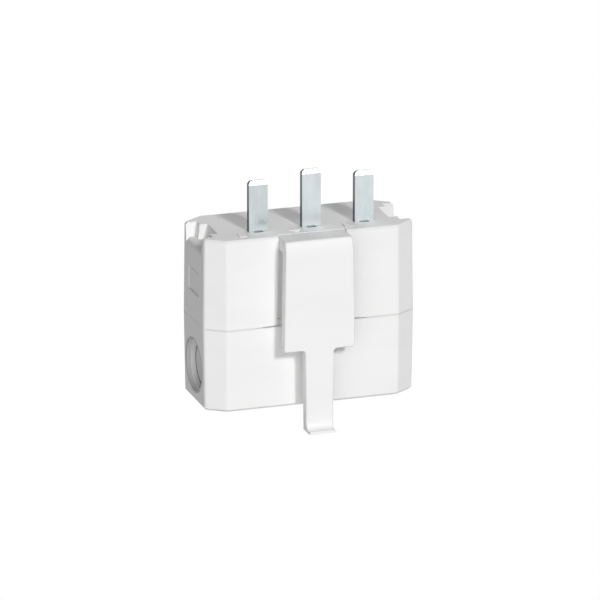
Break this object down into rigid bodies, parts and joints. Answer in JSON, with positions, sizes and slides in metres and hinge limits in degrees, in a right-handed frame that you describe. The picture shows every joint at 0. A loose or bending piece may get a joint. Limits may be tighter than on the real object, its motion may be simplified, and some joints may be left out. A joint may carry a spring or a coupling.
{
  "type": "ceiling light connector plug",
  "caption": "White moulded plug for a ceiling light connector: an eight-sided body in two halves, flat blades on its mating face, keyed ends and a front latch arm that is pressed to release it.",
  "frame": {"origin": "centre of the mating face, which lies against the outlet", "axes": "+Z along the blades towards the outlet, -Y towards the latch, X along the row of blades"},
  "size_m": [0.0464, 0.0266, 0.0542],
  "materials": {
    "housing_white": "satin moulding",
    "cover_white": "satin moulding",
    "latch_white": "smooth moulding",
    "blade_plate": "bright plated",
    "screw_steel": "plated",
    "terminal_brass": "drawn bar",
    "carrier_plastic": "matt",
    "clamp_plastic": "matt"
  },
  "bodies": {
    "plug": {"upper_housing": "housing_white", "lower_cover": "cover_white", "terminal_carrier": "carrier_plastic", "cord_clamp": "clamp_plastic", "live_blade": "blade_plate", "live_terminal": "terminal_brass", "live_terminal_screw": "screw_steel", "earth_blade": "blade_plate", "earth_terminal": "terminal_brass", "earth_terminal_screw": "screw_steel", "neutral_blade": "blade_plate", "neutral_terminal": "terminal_brass", "neutral_terminal_screw": "screw_steel", "carrier_screw_left": "screw_steel", "carrier_screw_right": "screw_steel", "clamp_screw_front": "screw_steel", "clamp_screw_back": "screw_steel"},
    "latch": {"latch_lever": "latch_white"}
  },
  "joints": [
    {"name": "latch_press", "type": "hinge", "parent": "plug", "child": "latch", "pos_m": [0, -0.0084, -0.0014], "axis": [1, 0, 0], "range_deg": [0, 3.9], "stiffness_Nm_per_rad": 0.6, "springref_deg": -5.73}
  ]
}
